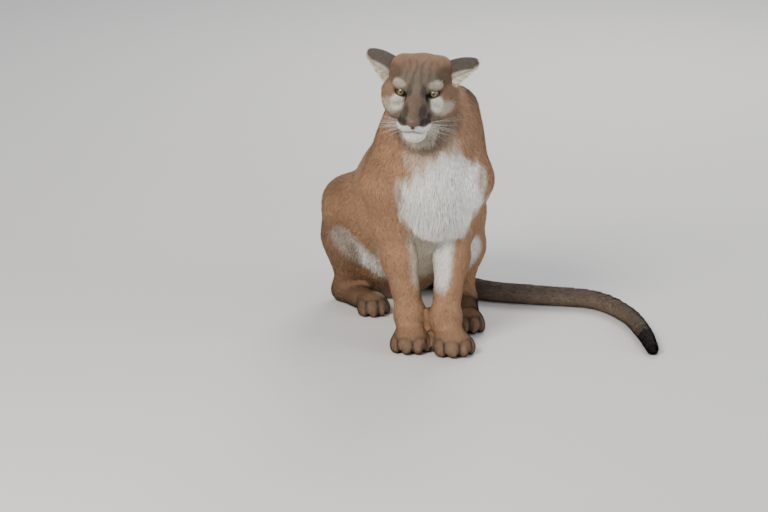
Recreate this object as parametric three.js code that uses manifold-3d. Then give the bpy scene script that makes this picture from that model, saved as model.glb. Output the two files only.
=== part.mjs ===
// A cougar sitting upright with its head turned a little to its own right, life size.
// Millimetres, +Z up. The animal faces -Y, its own left side is +X, and it rests on the floor at Z = 0.
// The flesh is one smooth shape of rods and lumps that run into each other. Flat cuts divide it
// into head, neck, trunk, legs and paws. Eyes, nose leather, ears and tail are bodies of their own.

import * as THREE from 'three';
import Module from 'manifold-3d';

const wasm = await Module();
wasm.setup();

// Driving sizes
const GAP = 0.15;                 // each body stands this far back from a cut
const SEAT_GAP = 0.4;             // air between an eye, ear, nose or tail and the flesh around it
const EYE_RADIUS = 15;
const EYE_SPREAD = 40;            // each eye from the middle of the face
const EYE_UP = 2;                 // and above the head's own point
const EAR_LENGTH = 102;
const EAR_HALF_WIDTH = 35;
const EAR_THICKNESS = 7;
const HEAD_ORIGIN = [-37, 8, 678];   // the point the head's places are measured from
const HEAD_YAW = 17.3;            // degrees to the animal's right
const HEAD_PITCH = 9.5;           // degrees nose down
const HEAD_ROLL = 2;              // degrees, left side lower
const CUT_REACH = 1500;           // half the side of the block that the cuts are taken from

// Short vector helpers on plain arrays
const add = (a, b) => [a[0] + b[0], a[1] + b[1], a[2] + b[2]];
const sub = (a, b) => [a[0] - b[0], a[1] - b[1], a[2] - b[2]];
const times = (a, s) => [a[0] * s, a[1] * s, a[2] * s];
const dot = (a, b) => a[0] * b[0] + a[1] * b[1] + a[2] * b[2];
const cross = (a, b) => [
  a[1] * b[2] - a[2] * b[1],
  a[2] * b[0] - a[0] * b[2],
  a[0] * b[1] - a[1] * b[0],
];
const unit = (a) => times(a, 1 / Math.hypot(...a));
const mix = (a, b, t) => add(times(a, 1 - t), times(b, t));
const radians = THREE.MathUtils.degToRad;

// The head's own directions: its left, forward and up
function headAxes() {
  const yaw = radians(HEAD_YAW);
  const pitch = radians(HEAD_PITCH);
  const roll = radians(HEAD_ROLL);
  const forward = [
    -Math.sin(yaw) * Math.cos(pitch),
    -Math.cos(yaw) * Math.cos(pitch),
    -Math.sin(pitch),
  ];
  const level = [Math.cos(yaw), -Math.sin(yaw), 0];
  const upright = cross(forward, level);
  const left = sub(times(level, Math.cos(roll)), times(upright, Math.sin(roll)));
  const up = add(times(upright, Math.cos(roll)), times(level, Math.sin(roll)));
  return [left, forward, up];
}
const HEAD = headAxes();
const headDirection = ([l, f, u]) => add(add(times(HEAD[0], l), times(HEAD[1], f)), times(HEAD[2], u));
const headPoint = (p) => add(HEAD_ORIGIN, headDirection(p));

// A rod with round ends that tapers from one radius to the other. With a side direction its
// section is an ellipse, wider along that direction by the given ratio.
function rod(from, to, startRadius, endRadius, blend, side = null, ratio = 1) {
  const along = sub(to, from);
  const lengthSquared = dot(along, along);
  const across = side && unit(sub(side, times(along, dot(side, along) / lengthSquared)));
  const distance = (p) => {
    let q = sub(p, from);
    const t = Math.min(1, Math.max(0, dot(q, along) / lengthSquared));
    q = sub(q, times(along, t));
    if (across) {
      q = add(q, times(across, dot(q, across) * (1 / ratio - 1)));
    }
    return Math.hypot(...q) - (startRadius + (endRadius - startRadius) * t);
  };
  return { distance, blend };
}

// An ellipsoid, with its own axes when they are given
function lump(centre, radii, blend, axes = null) {
  const distance = (p) => {
    const offset = sub(p, centre);
    const q = axes ? axes.map((axis) => dot(offset, axis)) : offset;
    const near = Math.hypot(q[0] / radii[0], q[1] / radii[1], q[2] / radii[2]);
    const slope = Math.hypot(q[0] / radii[0] ** 2, q[1] / radii[1] ** 2, q[2] / radii[2] ** 2);
    return (near * (near - 1)) / Math.max(slope, 1e-9);
  };
  return { distance, blend };
}

function softMin(a, b, blend) {
  const h = Math.max(blend - Math.abs(a - b), 0) / blend;
  return Math.min(a, b) - (h * h * blend) / 4;
}

// Positive outside the shape, negative inside
function shapeOf(pieces, hollows = []) {
  return (p) => {
    let value = 1000;
    for (const piece of pieces) {
      value = softMin(value, piece.distance(p), piece.blend);
    }
    for (const hollow of hollows) {
      value = -softMin(-value, hollow.distance(p), hollow.blend);
    }
    return value;
  };
}

// Trunk and neck
const SIDEWAYS = [1, 0, 0];
const trunk = [
  lump([14, 150, 450], [116, 126, 156], 60),
  lump([22, 70, 420], [80, 64, 108], 60),
  lump([8, 265, 380], [140, 130, 118], 60),
  rod([12, 190, 420], [5, 350, 328], 138, 140, 60, SIDEWAYS, 0.95),
  rod([5, 350, 305], [-6, 470, 220], 134, 126, 60, SIDEWAYS, 1.04),
  lump([-8, 520, 150], [138, 92, 150], 60),
  lump([-8, 545, 80], [112, 78, 84], 50),
  rod([36, 215, 580], [15, 360, 462], 56, 62, 70),
  rod([15, 360, 462], [-5, 520, 285], 62, 60, 60),
];
const neck = [
  rod([30, 170, 552], [6, 104, 655], 104, 76, 60),
  rod([22, 88, 515], [-18, 66, 600], 78, 60, 50),
];

// A paw: a pad with four toes in an arc, pointing from the paw's middle to its tip
function paw(middle, tip, pad, toes, toeRadii, toeBlend) {
  const forward = unit([tip[0] - middle[0], tip[1] - middle[1], 0]);
  const side = [-forward[1], forward[0], 0];
  const axes = [side, forward, [0, 0, 1]];
  const place = (across, ahead, height) => {
    const p = add(middle, add(times(side, across), times(forward, ahead)));
    return [p[0], p[1], height];
  };
  const pieces = [lump(place(0, pad.ahead, pad.height), pad.radii, pad.blend, axes)];
  for (const [across, ahead, height] of toes) {
    pieces.push(lump(place(across, ahead, height), toeRadii, toeBlend, axes));
  }
  return pieces;
}

// Forelegs: each from shoulder blade to toes
const FORE_TOES = [[-38, 3, 19], [-14, 23, 21], [14, 24, 21], [38, 4, 19]];
const foreJoints = {
  right: {
    blade: [-22, 215, 565], point: [-104, 110, 425], arm: [-110, 98, 420], elbow: [-78, 134, 302],
    wrist: [-42, 86, 92], paw: [-47, 42, 30], tip: [-50, -4, 0],
  },
  left: {
    blade: [98, 205, 580], point: [108, 96, 430], arm: [110, 88, 425], elbow: [80, 118, 304],
    wrist: [42, 50, 92], paw: [55, -2, 28], tip: [62, -46, 0],
  },
};
function foreleg(j) {
  const forearm = mix(j.elbow, j.wrist, 0.38);
  const pad = { ahead: -4, height: j.paw[2], radii: [47, 44, 30], blend: 20 };
  return [
    rod(j.blade, j.point, 50, 52, 45),
    rod(j.arm, j.elbow, 52, 44, 45),
    rod([j.arm[0] * 0.8, j.arm[1] + 70, j.arm[2] + 5], add(j.elbow, [0, 8, 12]), 50, 40, 50),
    lump(add(j.elbow, [0, 24, 2]), [22, 24, 26], 24),
    rod(j.elbow, forearm, 44, 41, 30),
    rod(forearm, j.wrist, 41, 35, 30),
    lump(add(j.wrist, [0, -4, -4]), [39, 34, 30], 20),
    rod([j.wrist[0], j.wrist[1] - 6, 62], add(j.paw, [0, 0, 4]), 34, 32, 25),
    ...paw(j.paw, j.tip, pad, FORE_TOES, [15.5, 25, 22], 7),
  ];
}

// Hind legs: each from hip to toes, folded, with the whole foot on the floor
const HIND_TOES = [[-30, 8, 17], [-11, 25, 19], [11, 25, 19], [30, 9, 17]];
const hindJoints = {
  right: {
    hip: [-66, 515, 160], knee: [-144, 410, 298], hock: [-136, 488, 62],
    ball: [-90, 368, 28], tip: [-79, 315, 0], outward: -1,
  },
  left: {
    hip: [54, 488, 160], knee: [126, 304, 290], hock: [142, 352, 62],
    ball: [126, 184, 28], tip: [120, 122, 0], outward: 1,
  },
};
function hindleg(j) {
  const ham = add(mix(j.hip, j.knee, 0.55), [0, 35, -60]);
  const calf = add(mix(j.knee, j.hock, 0.5), [j.outward * 8, 6, 5]);
  const heel = add(j.hock, [j.outward * 4, 8, -32]);
  const instep = add(j.ball, [0, 8, 0]);
  const pad = { ahead: 0, height: j.ball[2] - 2, radii: [39, 40, 28], blend: 15 };
  return [
    rod(j.hip, j.knee, 100, 56, 55),
    rod(ham, add(j.knee, [j.outward * 2, 30, -30]), 70, 50, 50),
    rod(add(j.knee, [0, 5, -10]), calf, 54, 48, 40),
    rod(calf, j.hock, 48, 29, 40),
    rod(add(j.hock, [0, 4, -8]), heel, 30, 31, 20),
    rod(heel, instep, 31, 28, 20, cross(sub(instep, heel), [0, 0, 1]), 1.15),
    ...paw(j.ball, j.tip, pad, HIND_TOES, [12.8, 23, 20], 6),
  ];
}

// Head, from places given as left, forward and up from the point between the eyes
const headLump = (place, radii, blend) => lump(headPoint(place), radii, blend, HEAD);
const headRod = (from, to, start, end, blend, ratio = 1) =>
  rod(headPoint(from), headPoint(to), start, end, blend, HEAD[0], ratio);
function headShape() {
  const pieces = [
    headLump([0, -60, 12], [68, 72, 48], 26),
    headLump([0, -104, 0], [66, 44, 52], 28),
    headLump([0, -16, 22], [50, 40, 28], 25),
  ];
  for (const s of [-1, 1]) {
    pieces.push(
      headLump([s * 54, -46, -20], [38, 52, 44], 25),
      headLump([s * 40, -22, -50], [38, 50, 32], 25),
      headLump([s * 52, -4, -17], [20, 26, 16], 18),
      headLump([s * 48, -68, 38], [28, 40, 26], 26),
    );
  }
  pieces.push(
    headRod([0, 0, 6], [0, 76, -37], 29, 20, 20),
    headLump([0, 48, -48], [36, 44, 32], 18),
    headLump([0, 56, -86], [23, 25, 17], 10),
    headRod([0, 50, -82], [0, -40, -68], 20, 40, 25, 1.15),
  );
  for (const s of [-1, 1]) {
    pieces.push(
      headLump([s * 20, 66, -55], [22.5, 23, 19], 10),
      headLump([s * 36, 2, 23], [24, 14, 9], 18),
    );
  }
  return pieces;
}
const sockets = [-1, 1].map((s) => headLump([s * 44, 22, EYE_UP], [19, 13, 9.5], 10));

const flesh = shapeOf(
  [
    ...trunk,
    ...neck,
    ...foreleg(foreJoints.right),
    ...foreleg(foreJoints.left),
    ...hindleg(hindJoints.right),
    ...hindleg(hindJoints.left),
    ...headShape(),
  ],
  sockets,
);

// Tail: x, y, z and radius along it, round the left haunch and forward over the floor
const TAIL_PATH = [
  [-6, 560, 150, 40], [6, 618, 84, 36], [62, 622, 31, 31], [130, 548, 25.5, 29], [220, 440, 23.5, 27],
  [353, 378, 22.5, 26], [483, 318, 21, 24.5], [540, 190, 19, 22.5], [550, 40, 17.5, 20.5], [545, -80, 14, 16],
];
const TAIL_RINGS = 10;
const TAIL_STEPS = 38;
function tailSolid(grow) {
  const places = TAIL_PATH.map(([x, y, z]) => new THREE.Vector3(x, y, z));
  const curve = new THREE.CatmullRomCurve3(places, false, 'catmullrom', 0.5);
  const spans = TAIL_PATH.length - 1;
  const points = [];
  const triangles = [];
  const ring = (i, j) => i * TAIL_RINGS + (j % TAIL_RINGS);
  for (let i = 0; i <= TAIL_STEPS; i++) {
    const t = i / TAIL_STEPS;
    const span = Math.min(spans - 1, Math.floor(t * spans));
    const radius = THREE.MathUtils.lerp(TAIL_PATH[span][3], TAIL_PATH[span + 1][3], t * spans - span);
    const centre = curve.getPoint(t).toArray();
    const along = curve.getTangent(t).toArray();
    const across = unit(cross(along, [0, 0, 1]));
    const up = unit(cross(across, along));
    for (let j = 0; j < TAIL_RINGS; j++) {
      const angle = (j / TAIL_RINGS) * 2 * Math.PI;
      const out = add(times(across, Math.cos(angle)), times(up, Math.sin(angle)));
      points.push(add(centre, times(out, radius + grow)));
    }
  }
  for (let i = 0; i < TAIL_STEPS; i++) {
    for (let j = 0; j < TAIL_RINGS; j++) {
      triangles.push(ring(i, j), ring(i + 1, j), ring(i + 1, j + 1));
      triangles.push(ring(i, j), ring(i + 1, j + 1), ring(i, j + 1));
    }
  }
  const [root, tip] = [0, TAIL_STEPS].map((i) => {
    const along = curve.getTangent(i / TAIL_STEPS).toArray();
    const radius = TAIL_PATH[i === 0 ? 0 : spans][3];
    const reach = (i === 0 ? -0.5 : 0.9) * (radius + grow);
    points.push(add(curve.getPoint(i / TAIL_STEPS).toArray(), times(along, reach)));
    return points.length - 1;
  });
  for (let j = 0; j < TAIL_RINGS; j++) {
    triangles.push(root, ring(0, j), ring(0, j + 1));
    triangles.push(tip, ring(TAIL_STEPS, j + 1), ring(TAIL_STEPS, j));
  }
  return solidFrom(points, triangles);
}

// Direction in which the shape's value grows fastest, and the value's slope along it
function slopeAt(shape, p) {
  const reach = 0.5;
  return [0, 1, 2].map((axis) => {
    const ahead = [...p];
    const behind = [...p];
    ahead[axis] += reach;
    behind[axis] -= reach;
    return (shape(ahead) - shape(behind)) / (2 * reach);
  });
}

// Closed surface of a shape inside a box: one point in each small cell that the surface passes
// through, moved onto the surface, and one four-sided patch round each grid edge it crosses.
function skinOf(shape, low, high, cell) {
  const count = [0, 1, 2].map((i) => Math.ceil((high[i] - low[i]) / cell) + 1);
  const nodeIndex = (i, j, k) => (i * count[1] + j) * count[2] + k;
  const isRim = (n, axis) => n <= 0 || n >= count[axis] - 1;
  const values = new Float64Array(count[0] * count[1] * count[2]);
  for (let i = 0; i < count[0]; i++) {
    for (let j = 0; j < count[1]; j++) {
      for (let k = 0; k < count[2]; k++) {
        const p = [low[0] + i * cell, low[1] + j * cell, low[2] + k * cell];
        const rim = isRim(i, 0) || isRim(j, 1) || isRim(k, 2);
        values[nodeIndex(i, j, k)] = rim ? cell : shape(p);
      }
    }
  }
  const corners = [];
  for (let n = 0; n < 8; n++) {
    corners.push([n & 1, (n >> 1) & 1, (n >> 2) & 1]);
  }
  const points = [];
  const pointOfCell = new Map();
  for (let i = 0; i < count[0] - 1; i++) {
    for (let j = 0; j < count[1] - 1; j++) {
      for (let k = 0; k < count[2] - 1; k++) {
        const value = corners.map((c) => values[nodeIndex(i + c[0], j + c[1], k + c[2])]);
        const inside = value.filter((v) => v < 0).length;
        if (inside === 0 || inside === 8) {
          continue;
        }
        let sum = [0, 0, 0];
        let crossings = 0;
        for (let a = 0; a < 8; a++) {
          for (const step of [1, 2, 4]) {
            const b = a | step;
            if (b !== a && value[a] < 0 !== value[b] < 0) {
              sum = add(sum, mix(corners[a], corners[b], value[a] / (value[a] - value[b])));
              crossings++;
            }
          }
        }
        const local = times(sum, 1 / crossings);
        let p = [0, 1, 2].map((axis) => low[axis] + ([i, j, k][axis] + local[axis]) * cell);
        const edge = [i, j, k].some((n, axis) => n <= 0 || n >= count[axis] - 2);
        for (let round = 0; round < 3 && !edge; round++) {
          const slope = slopeAt(shape, p);
          const step = shape(p) / Math.max(dot(slope, slope), 0.25);
          const limit = Math.min(1, (0.4 * cell) / Math.max(Math.abs(step) * Math.hypot(...slope), 1e-9));
          p = sub(p, times(slope, step * limit));
        }
        pointOfCell.set(nodeIndex(i, j, k), points.length);
        points.push(p);
      }
    }
  }
  const triangles = [];
  const patch = (a, b, c, d) => {
    const length = (m, n) => Math.hypot(...sub(points[m], points[n]));
    if (length(a, c) <= length(b, d)) {
      triangles.push(a, b, c, a, c, d);
    } else {
      triangles.push(a, b, d, b, c, d);
    }
  };
  for (let i = 1; i < count[0] - 1; i++) {
    for (let j = 1; j < count[1] - 1; j++) {
      for (let k = 1; k < count[2] - 1; k++) {
        const here = values[nodeIndex(i, j, k)] < 0;
        for (let axis = 0; axis < 3; axis++) {
          for (const side of [1, -1]) {
            const next = [i, j, k];
            next[axis] += side;
            if (!here || values[nodeIndex(...next)] < 0) {
              continue;
            }
            const base = [i, j, k];
            base[axis] += side < 0 ? -1 : 0;
            const u = (axis + 1) % 3;
            const v = (axis + 2) % 3;
            const around = [[-1, -1], [0, -1], [0, 0], [-1, 0]].map(([du, dv]) => {
              const at = [...base];
              at[u] += du;
              at[v] += dv;
              return pointOfCell.get(nodeIndex(...at));
            });
            if (side < 0) {
              around.reverse();
            }
            patch(...around);
          }
        }
      }
    }
  }
  return solidFrom(points, triangles);
}

// A closed body facing out, whichever way round its triangles were listed
function solidFrom(points, triangles) {
  const made = (order) => new wasm.Manifold(new wasm.Mesh({
    numProp: 3,
    vertProperties: new Float32Array(points.flat()),
    triVerts: new Uint32Array(order),
  }));
  const solid = made(triangles);
  return solid.volume() > 0 ? solid : made([...triangles].reverse());
}

// A three.js geometry as a solid for joining and cutting
function solidOf(geometry) {
  const position = geometry.getAttribute('position');
  const points = [];
  const known = new Map();
  const renumber = [];
  for (let n = 0; n < position.count; n++) {
    const p = [position.getX(n), position.getY(n), position.getZ(n)];
    const key = p.map((v) => Math.round(v * 1e4)).join(' ');
    if (!known.has(key)) {
      known.set(key, points.length);
      points.push(p);
    }
    renumber.push(known.get(key));
  }
  const order = geometry.index ? [...geometry.index.array] : renumber.map((_, n) => n);
  const triangles = [];
  for (let n = 0; n < order.length; n += 3) {
    const [a, b, c] = [order[n], order[n + 1], order[n + 2]].map((v) => renumber[v]);
    if (a !== b && b !== c && c !== a) {
      triangles.push(a, b, c);
    }
  }
  return solidFrom(points, triangles);
}

// The space on one side of each of some flat cuts. A cut is a point on it and the direction
// that points into the space; a positive margin makes the space larger.
function space(cuts, margin) {
  const side = 2 * CUT_REACH;
  let block = solidOf(new THREE.BoxGeometry(side, side, side));
  for (const [point, inward] of cuts) {
    const n = unit(inward);
    block = block.trimByPlane(n, dot(n, point) - margin);
  }
  return block;
}

// The flat cuts between the parts
const underChin = [headPoint([0, -10, -104]), headDirection([0, 0.6, 0.8])];
const collar = [[20, 120, 600], [-0.1, -0.42, 0.9]];
const behindRibs = [[8, 300, 360], [0.05, -0.85, 0.53]];
const behindBelly = [[2, 410, 262], [0.05, -0.85, 0.53]];
const opposite = ([point, direction]) => [point, times(direction, -1)];
const lowFoot = [[0, 0, 84], [0, 0, -1]];
const rightSide = [[3, 0, 0], [-1, 0.08, 0]];
const spaces = {
  head: [underChin],
  neck: [collar],
  hindfoot_right: [[[-136, 488, 75], [0, -0.7, -0.71]], [[-98, 500, 0], [-0.8, -0.6, 0]], lowFoot, rightSide,
    opposite(behindRibs)],
  hindfoot_left: [[[142, 352, 75], [0, -0.7, -0.71]], [[80, 380, 0], [0.8, -0.6, 0]], lowFoot,
    opposite(behindRibs)],
  forepaw_right: [[[-42, 86, 70], [0, -0.25, -1]], behindRibs, rightSide],
  forepaw_left: [[[42, 50, 70], [0, -0.25, -1]], behindRibs, opposite(rightSide)],
  foreleg_right: [[[0, 0, 276], [0, 0, -1]], behindRibs, rightSide],
  foreleg_left: [[[0, 0, 276], [0, 0, -1]], behindRibs, opposite(rightSide)],
  hindleg_right: [[[-100, 0, 230], [-0.952, 0, -0.305]], opposite(behindRibs)],
  hindleg_left: [[[88, 0, 230], [0.952, 0, -0.305]], opposite(behindRibs)],
  shoulder_right: [[[-62, 0, 400], [-1, 0, 0.1]], behindRibs],
  shoulder_left: [[[88, 0, 400], [1, 0, 0.1]], behindRibs],
  chest: [behindRibs],
  loin: [behindBelly],
  haunch: [],
};

// Where each part is found and how finely its surface is divided. The parts of the trunk share
// one surface, so that their outlines meet at the cuts.
const body = { low: [-244, -67, -39], high: [250, 702, 782], cell: 35 };
const finds = {
  head: { low: [-163, -108, 542], high: [110, 200, 775], cell: 16.5 },
  hindfoot_right: { low: [-209, 274, -19], high: [0, 570, 150], cell: 19 },
  hindfoot_left: { low: [50, 80, -20], high: [215, 440, 150], cell: 19 },
  forepaw_right: { low: [-122, -47, -27], high: [30, 160, 110], cell: 16 },
  forepaw_left: { low: [-20, -100, -20], high: [145, 120, 110], cell: 16.5 },
  foreleg_right: { low: [-169, 0, 26], high: [40, 240, 330], cell: 25 },
  foreleg_left: { low: [-31, -31, 31], high: [170, 230, 330], cell: 25 },
};

// An ear: a leaf cupped downwards, lying out sideways with its back up
function earSolid(side, grow) {
  const along = 8;
  const across = 6;
  const root = [side * 56, -72, 44];
  const out = unit([side * 0.93, -0.25, side < 0 ? 0.28 : 0.16]);
  const tilt = [0, 0.985, -0.17];
  const wide = unit(sub(tilt, times(out, dot(tilt, out))));
  const normal = cross(out, wide);
  const back = normal[2] > 0 ? normal : times(normal, -1);
  const points = [];
  for (const sheet of [0, 1]) {
    for (let i = 0; i <= along; i++) {
      const t = i / along;
      const round = t > 0.35 ? Math.sqrt(1 - Math.min(1, ((t - 0.35) / 0.65) ** 2.4)) : 1;
      const narrow = t < 0.35 ? 0.74 + 0.26 * Math.sin((t / 0.35) * (Math.PI / 2)) : 1;
      const inset = sheet === 1 ? EAR_THICKNESS * 0.5 : 0;
      const half = Math.max(EAR_HALF_WIDTH * round * narrow - inset + grow, 1 + grow);
      const cup = 22 * (1 - t) ** 0.8 + 3;
      const drop = sheet === 1 ? EAR_THICKNESS + 3 * grow : -grow;
      for (let j = 0; j <= across; j++) {
        const a = (j / across) * 2 - 1;
        const length = t * (EAR_LENGTH - inset + 2 * grow) - 16 - grow;
        const height = 6 * Math.sin(Math.PI * t) - cup * Math.abs(a) ** 2.2 - drop;
        points.push(headPoint(add(root, add(times(out, length), add(times(wide, a * half), times(back, height))))));
      }
    }
  }
  const at = (sheet, i, j) => (sheet * (along + 1) + i) * (across + 1) + j;
  const triangles = [];
  const patch = (a, b, c, d) => triangles.push(a, b, c, a, c, d);
  for (let i = 0; i < along; i++) {
    for (let j = 0; j < across; j++) {
      patch(at(0, i, j), at(0, i + 1, j), at(0, i + 1, j + 1), at(0, i, j + 1));
      patch(at(1, i, j), at(1, i, j + 1), at(1, i + 1, j + 1), at(1, i + 1, j));
    }
    patch(at(0, i, 0), at(1, i, 0), at(1, i + 1, 0), at(0, i + 1, 0));
    patch(at(0, i, across), at(0, i + 1, across), at(1, i + 1, across), at(1, i, across));
  }
  for (let j = 0; j < across; j++) {
    patch(at(0, 0, j), at(0, 0, j + 1), at(1, 0, j + 1), at(1, 0, j));
    patch(at(0, along, j), at(1, along, j), at(1, along, j + 1), at(0, along, j + 1));
  }
  return solidFrom(points, triangles);
}

// An ellipsoid in the head's own directions
function headEllipsoid(place, radii, grow, segments) {
  const geometry = new THREE.SphereGeometry(1, segments, Math.round(segments * 0.7));
  const sized = radii.map((r) => r + grow);
  const turn = new THREE.Matrix4().makeBasis(...HEAD.map((axis) => new THREE.Vector3(...axis)));
  geometry.scale(...sized);
  geometry.applyMatrix4(turn);
  geometry.translate(...headPoint(place));
  return solidOf(geometry);
}
const eyeSolid = (side, grow) => {
  const r = EYE_RADIUS;
  return headEllipsoid([side * EYE_SPREAD, 2, EYE_UP], [r, r, r], grow, 12);
};
const noseSolid = (grow) => headEllipsoid([0, 89, -42], [20, 10, 11], grow, 11);

// Build the parts
const seats = [
  ...[-1, 1].map((side) => eyeSolid(side, SEAT_GAP)),
  ...[-1, 1].map((side) => earSolid(side, 2 * SEAT_GAP)),
  noseSolid(SEAT_GAP),
];
const tailSeat = tailSolid(SEAT_GAP);
const tailWhole = tailSolid(0);

const solids = {};
const taken = [];
const bodySkin = skinOf(flesh, body.low, body.high, body.cell);
for (const [name, cuts] of Object.entries(spaces)) {
  const own = finds[name];
  const skin = own ? skinOf(flesh, own.low, own.high, own.cell) : bodySkin;
  let solid = skin.intersect(space(cuts, -GAP)).trimByPlane([0, 0, 1], 0);
  for (const earlier of taken) {
    solid = solid.subtract(earlier);
  }
  if (name === 'head') {
    for (const seat of seats) {
      solid = solid.subtract(seat);
    }
  }
  if (name === 'haunch' || name === 'hindleg_left') {
    solid = solid.subtract(tailSeat);
  }
  solids[name] = solid;
  taken.push(space(cuts, GAP));
}


// The tail in three lengths, cut square to its path
const tailCuts = {
  base: [[200, 464, 26], [0.62, -0.78, 0]],
  tip: [[543, 120, 22], [0.03, -1, 0]],
};
const tailPart = (cuts) => tailWhole.intersect(space(cuts, -GAP)).trimByPlane([0, 0, 1], 0);
solids.tail_base = tailPart([opposite(tailCuts.base)]);
solids.tail_middle = tailPart([tailCuts.base, opposite(tailCuts.tip)]);
solids.tail_tip = tailPart([tailCuts.tip]);

solids.eye_right = eyeSolid(-1, 0);
solids.eye_left = eyeSolid(1, 0);
solids.ear_right = earSolid(-1, 0);
solids.ear_left = earSolid(1, 0);
solids.nose = noseSolid(0);

// Colours of the coat and of the bare parts
const TAWNY = 0xa9764a;
const GREY_BROWN = 0x8a6a4d;
const CREAM = 0xd9cbb4;
const colours = {
  head: GREY_BROWN,
  neck: TAWNY,
  chest: CREAM,
  tail_tip: 0x3a2c22,
  ear_right: 0x4a4038,
  ear_left: 0x4a4038,
  eye_right: 0xb08a2e,
  eye_left: 0xb08a2e,
  nose: 0x5a3a32,
};
const smooth = { eye_right: 0.1, eye_left: 0.1, nose: 0.5 };

function meshOf(name, solid) {
  const { vertProperties, triVerts } = solid.getMesh();
  const geometry = new THREE.BufferGeometry();
  geometry.setAttribute('position', new THREE.BufferAttribute(new Float32Array(vertProperties), 3));
  geometry.setIndex(new THREE.BufferAttribute(new Uint32Array(triVerts), 1));
  geometry.computeVertexNormals();
  const material = new THREE.MeshStandardMaterial({
    color: colours[name] ?? TAWNY,
    roughness: smooth[name] ?? 0.9,
    metalness: 0,
  });
  const mesh = new THREE.Mesh(geometry, material);
  mesh.name = name;
  return mesh;
}

// The origin is on the floor, under the middle of the box round the whole animal
const cougar = new THREE.Group();
cougar.name = 'cougar';
for (const [name, solid] of Object.entries(solids)) {
  cougar.add(meshOf(name, solid));
}
const box = new THREE.Box3().setFromObject(cougar);
const middle = box.getCenter(new THREE.Vector3());
for (const mesh of cougar.children) {
  mesh.geometry.translate(-middle.x, -middle.y, -box.min.z);
}

export default cougar;
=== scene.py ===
# A cougar sitting upright with its head turned a little to its own right, life size.
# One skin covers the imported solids. The coat is many small pointed tufts that lie along it.
# Shapes are worked out in millimetres in the animal's own frame and placed in metres.

import math

import bmesh
import bpy
import numpy as np
import openvdb
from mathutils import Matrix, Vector


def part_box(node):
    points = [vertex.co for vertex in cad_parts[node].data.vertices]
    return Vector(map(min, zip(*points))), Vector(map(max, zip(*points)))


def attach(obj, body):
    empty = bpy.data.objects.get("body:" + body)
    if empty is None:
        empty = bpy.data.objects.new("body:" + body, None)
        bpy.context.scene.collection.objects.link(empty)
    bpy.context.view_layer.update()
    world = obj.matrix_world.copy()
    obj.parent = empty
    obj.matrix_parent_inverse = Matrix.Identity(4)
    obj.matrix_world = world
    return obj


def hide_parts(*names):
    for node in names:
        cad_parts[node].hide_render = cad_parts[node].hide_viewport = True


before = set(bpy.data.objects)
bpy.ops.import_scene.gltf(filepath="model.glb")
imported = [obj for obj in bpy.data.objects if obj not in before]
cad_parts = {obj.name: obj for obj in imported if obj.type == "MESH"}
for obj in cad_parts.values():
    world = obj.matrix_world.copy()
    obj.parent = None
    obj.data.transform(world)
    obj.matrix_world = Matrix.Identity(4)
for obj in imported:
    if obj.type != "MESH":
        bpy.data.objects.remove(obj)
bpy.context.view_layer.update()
rng = np.random.default_rng(7)

MM = 0.001
UV_NAME = "OFBake"

# Head frame: its own point between the eyes, and the head's turn
HEAD_ORIGIN = np.array([-37.0, 8.0, 678.0])
HEAD_YAW = math.radians(17.3)
HEAD_PITCH = math.radians(9.5)
HEAD_ROLL = math.radians(2.0)
EYE_SPREAD = 40.0
EYE_FORWARD = 2.0
EYE_UP = 2.0
EYE_RADIUS = 15.0
EYE_SLANT = 16                  # degrees, outer corner higher
NOSE_TIP = np.array([0.0, 98.0, -43.0])


def unit(v):
    v = np.asarray(v, float)
    return v / np.maximum(np.linalg.norm(v, axis=-1, keepdims=True), 1e-12)


def head_axes():
    forward = np.array([
        -math.sin(HEAD_YAW) * math.cos(HEAD_PITCH),
        -math.cos(HEAD_YAW) * math.cos(HEAD_PITCH),
        -math.sin(HEAD_PITCH),
    ])
    level = np.array([math.cos(HEAD_YAW), -math.sin(HEAD_YAW), 0.0])
    upright = np.cross(forward, level)
    left = level * math.cos(HEAD_ROLL) - upright * math.sin(HEAD_ROLL)
    up = upright * math.cos(HEAD_ROLL) + level * math.sin(HEAD_ROLL)
    return np.stack([left, forward, up])


HEAD = head_axes()


def head_point(place):
    return HEAD_ORIGIN + np.asarray(place, float) @ HEAD


def in_head(points):
    return (points - HEAD_ORIGIN) @ HEAD.T


# Coat of each region: hair length, depth of the coat over the skin
COAT = {
    "trunk": (17.0, 5.5),
    "chest": (34.0, 9.0),
    "belly": (26.0, 7.0),
    "neck": (18.0, 6.0),
    "foreleg": (11.0, 3.5),
    "hindleg": (14.0, 4.5),
    "paw": (6.5, 1.8),
    "tail": (14.0, 4.0),
    "head": (8.0, 2.4),
    "muzzle": (4.5, 1.2),
}
pieces = []


def piece(kind, centre, reach, blend, region, flow, **shape):
    pieces.append(dict(kind=kind, centre=np.array(centre, float), reach=reach, blend=blend,
                       region=region, flow=None if flow is None else unit(flow), **shape))


def rod(start, end, start_radius, end_radius, blend, region, side=None, ratio=1.0, flow=None):
    """A tapered rod with round ends; with a side direction its section is that much wider."""
    start, end = np.array(start, float), np.array(end, float)
    along = end - start
    across = None
    if side is not None:
        side = np.array(side, float)
        across = unit(side - along * (side @ along) / (along @ along))
    reach = np.abs(along) / 2 + max(start_radius, end_radius) * max(1.0, ratio)
    piece("rod", (start + end) / 2, reach, blend, region, along if flow is None else flow,
          start=start, along=along, radii=(start_radius, end_radius), across=across, ratio=ratio)


def lump(centre, radii, blend, region, axes=None, flow=(0, 0.5, -0.8)):
    piece("lump", centre, np.full(3, float(max(radii))), blend, region, flow,
          radii=np.array(radii, float), axes=axes)


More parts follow.
